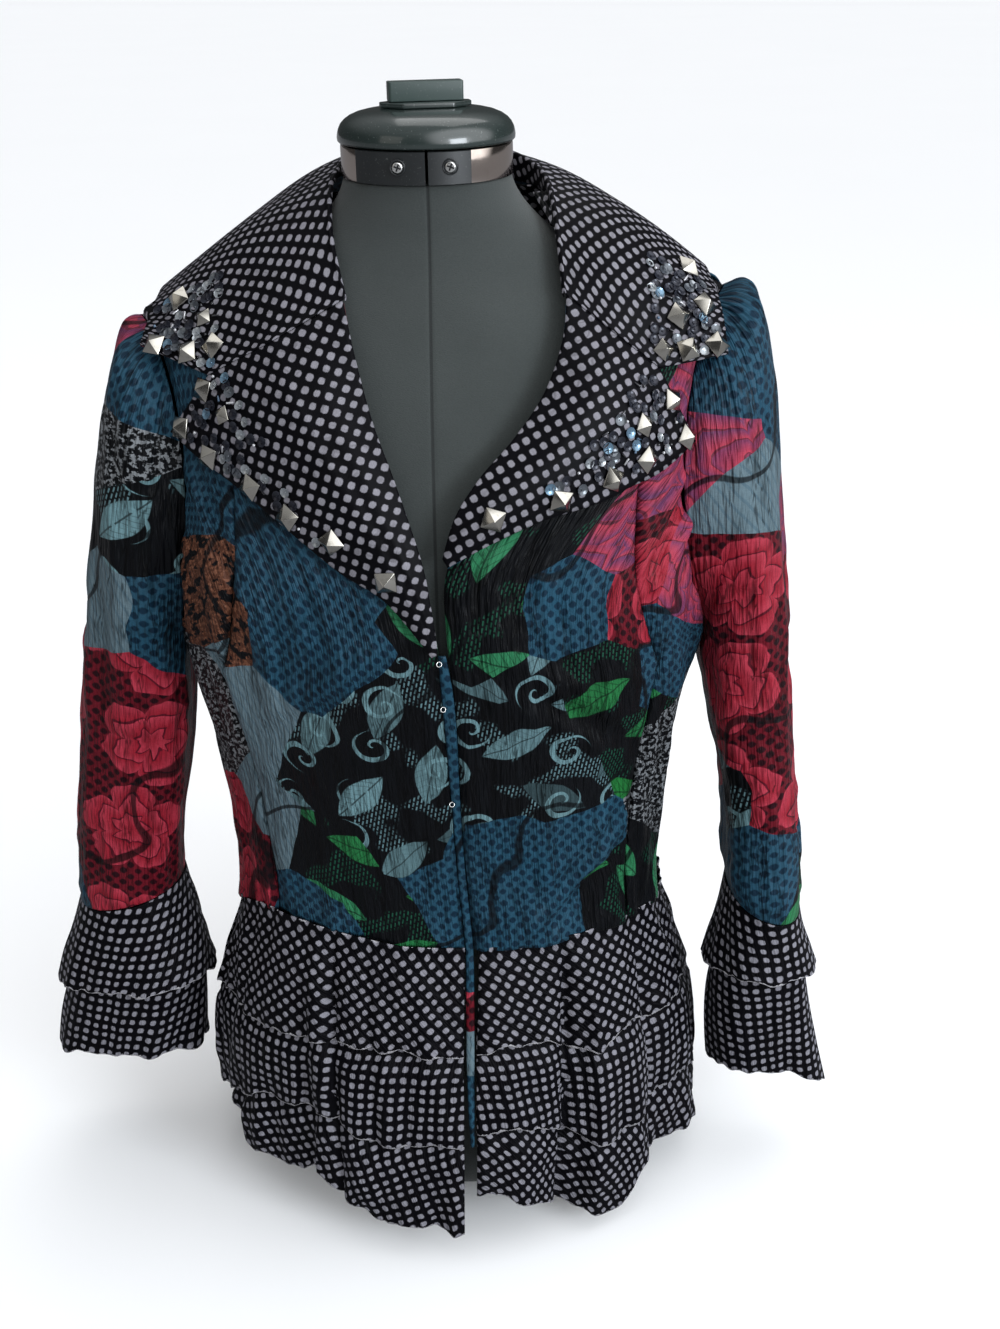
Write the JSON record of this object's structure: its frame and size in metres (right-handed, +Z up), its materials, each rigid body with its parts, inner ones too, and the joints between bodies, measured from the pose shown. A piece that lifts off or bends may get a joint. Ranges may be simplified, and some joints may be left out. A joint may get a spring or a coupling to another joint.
{
  "type": "embellished jacket on a dress form",
  "caption": "Waisted jacket with a wide studded collar and lapels, flared cuff ruffles and a tiered ruffled peplum, worn by a limbless dress form.",
  "frame": {"origin": "middle of the dress form's flat bottom, which is the part's base", "axes": "+Z up, the jacket's front faces -Y, +X is to the right as seen from the front; left and right in every name are as seen from the front, not the wearer's"},
  "size_m": [0.5671, 0.2841, 0.7671],
  "materials": {
    "print_cloth": "crinkled thin satin with a collage print",
    "facing_cloth": "soft blue cloth",
    "dotted_cloth": "black satin with pale dots",
    "ruffle_cloth": "crinkled black cloth with pale dots",
    "stud_metal": "aged pewter",
    "form_cloth": "matte jersey",
    "band_chrome": "polished",
    "screw_steel": "bright",
    "neck_plastic": "gloss"
  },
  "bodies": {
    "root": {"front_left": "print_cloth", "front_right": "print_cloth", "side_front_left": "print_cloth", "side_front_right": "print_cloth", "back": "print_cloth", "sleeve_left": "print_cloth", "sleeve_right": "print_cloth", "front_facing_strip": "facing_cloth", "collar": "dotted_cloth", "lapel_left": "dotted_cloth", "lapel_right": "dotted_cloth", "cuff_left_upper": "ruffle_cloth", "cuff_left_lower": "ruffle_cloth", "cuff_right_upper": "ruffle_cloth", "cuff_right_lower": "ruffle_cloth", "peplum_upper_left": "ruffle_cloth", "peplum_upper_right": "ruffle_cloth", "peplum_upper_back": "ruffle_cloth", "peplum_middle_left": "ruffle_cloth", "peplum_middle_right": "ruffle_cloth", "peplum_middle_back": "ruffle_cloth", "peplum_lower_left": "ruffle_cloth", "peplum_lower_right": "ruffle_cloth", "peplum_lower_back": "ruffle_cloth", "stud_collar_1": "stud_metal", "stud_collar_2": "stud_metal", "stud_collar_3": "stud_metal", "stud_collar_4": "stud_metal", "stud_collar_5": "stud_metal", "stud_collar_6": "stud_metal", "stud_collar_7": "stud_metal", "stud_collar_8": "stud_metal", "stud_collar_9": "stud_metal", "stud_collar_10": "stud_metal", "stud_collar_11": "stud_metal", "stud_lapel_left_1": "stud_metal", "stud_lapel_left_2": "stud_metal", "stud_lapel_left_3": "stud_metal", "stud_lapel_left_4": "stud_metal", "stud_lapel_left_5": "stud_metal", "stud_lapel_left_6": "stud_metal", "stud_lapel_left_7": "stud_metal", "stud_lapel_left_8": "stud_metal", "stud_lapel_right_1": "stud_metal", "stud_lapel_right_2": "stud_metal", "stud_lapel_right_3": "stud_metal", "stud_lapel_right_4": "stud_metal", "stud_lapel_right_5": "stud_metal", "stud_lapel_right_6": "stud_metal", "stud_lapel_right_7": "stud_metal", "form_torso": "form_cloth", "neck_band_left": "band_chrome", "neck_band_right": "band_chrome", "neck_screw_left": "screw_steel", "neck_screw_right": "screw_steel", "neck_dome": "neck_plastic", "neck_knob_plate": "neck_plastic", "neck_knob": "neck_plastic"}
  },
  "joints": []
}
